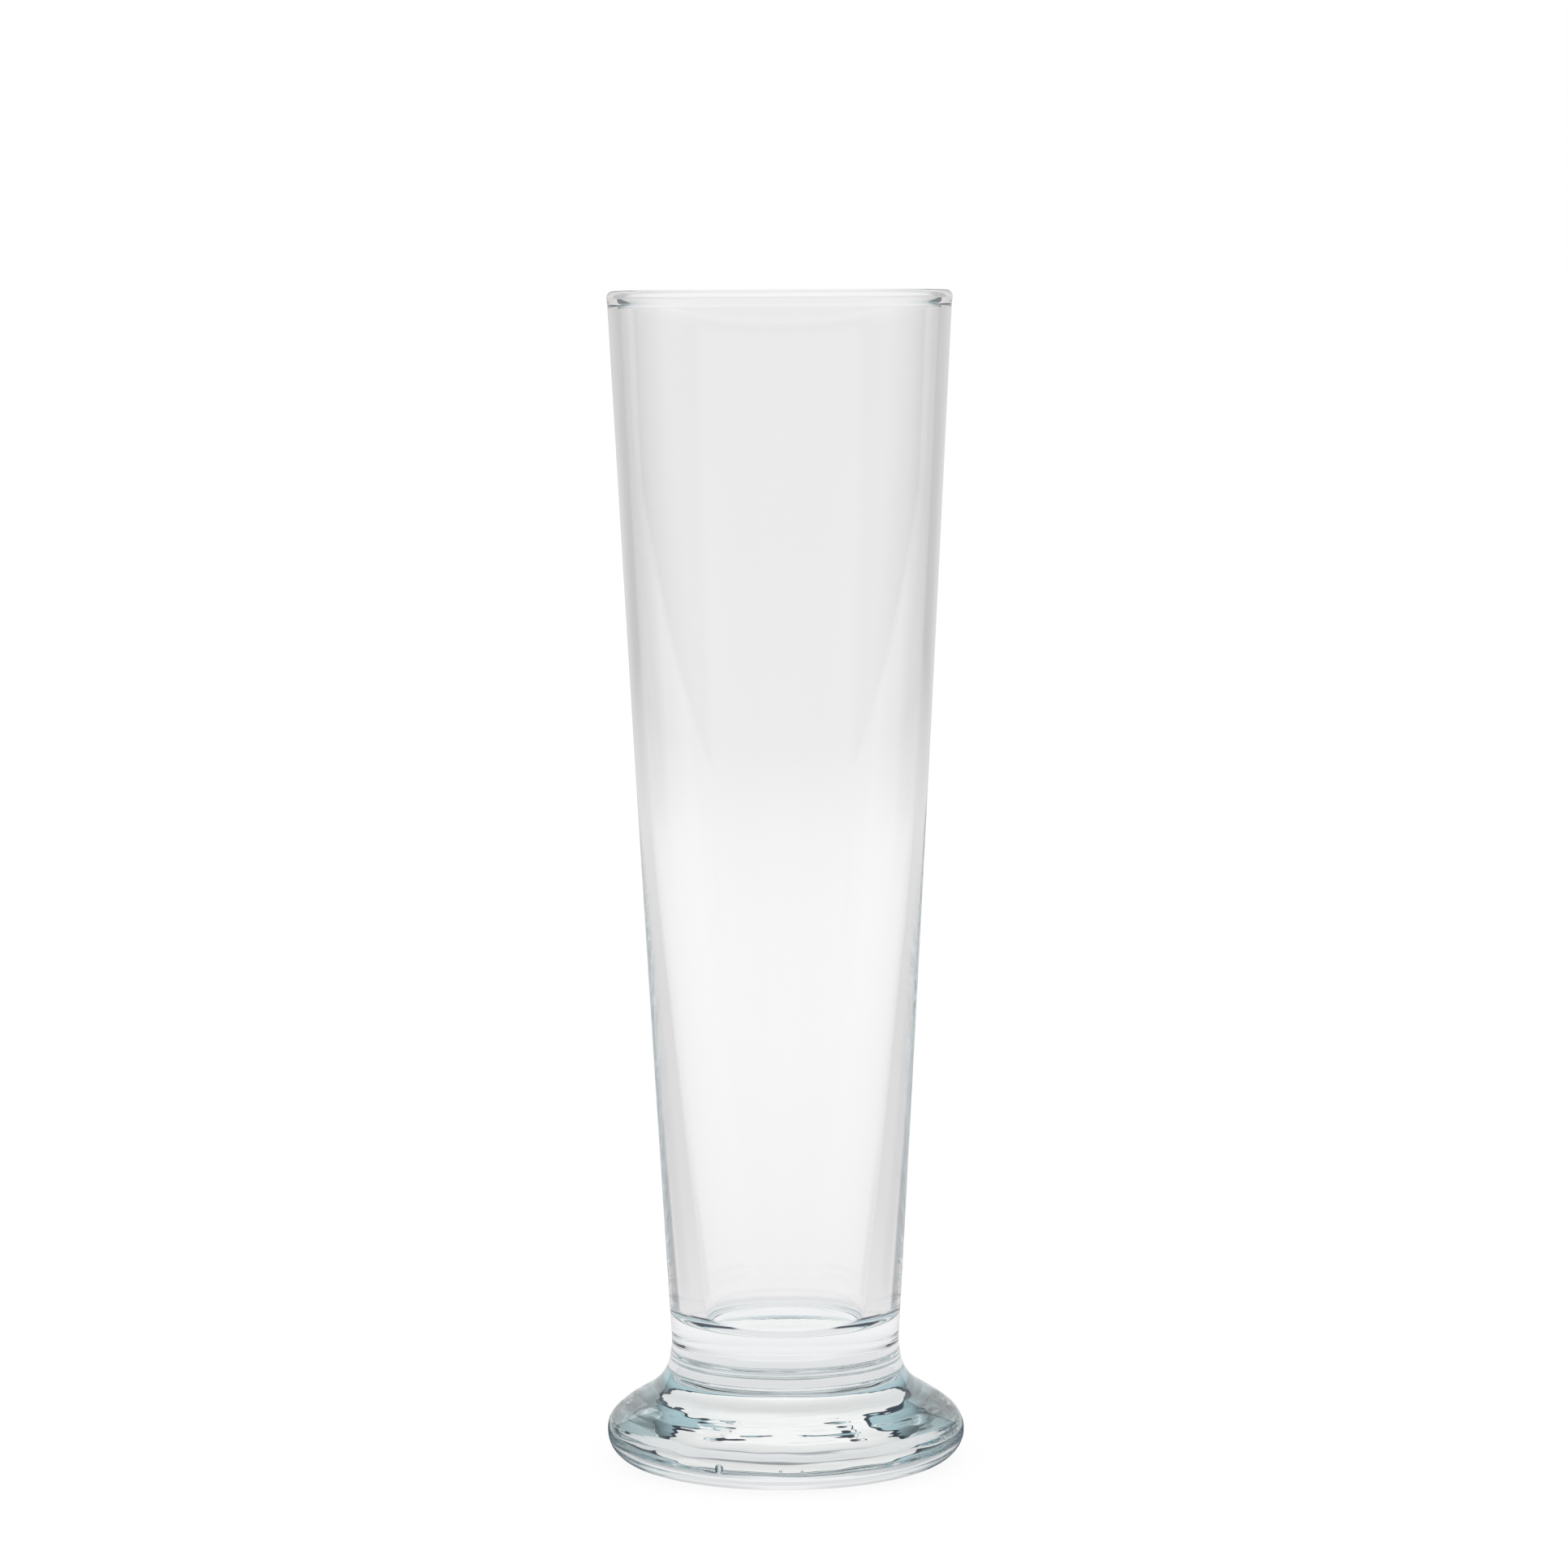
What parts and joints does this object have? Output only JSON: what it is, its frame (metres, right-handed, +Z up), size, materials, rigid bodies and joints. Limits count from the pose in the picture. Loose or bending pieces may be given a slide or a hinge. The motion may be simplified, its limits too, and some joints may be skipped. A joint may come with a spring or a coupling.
{
  "type": "footed beer glass",
  "caption": "Tall clear drinking glass: a slim conical bowl with a rounded rim, thick-walled towards the bottom, fused to a heavy, rounded solid foot with a flat base.",
  "frame": {"origin": "on the table, under the middle of the foot", "axes": "+Z up the glass's axis, towards the rim; X and Y level, and alike by symmetry"},
  "size_m": [0.0702, 0.0702, 0.229],
  "materials": {
    "bowl_glass": "clear, fire-polished soda-lime glass",
    "foot_glass": "clear pressed glass, faintly sea-green where it is thick, with soft chill ripples"
  },
  "bodies": {
    "root": {"bowl": "bowl_glass", "foot": "foot_glass"}
  },
  "joints": []
}
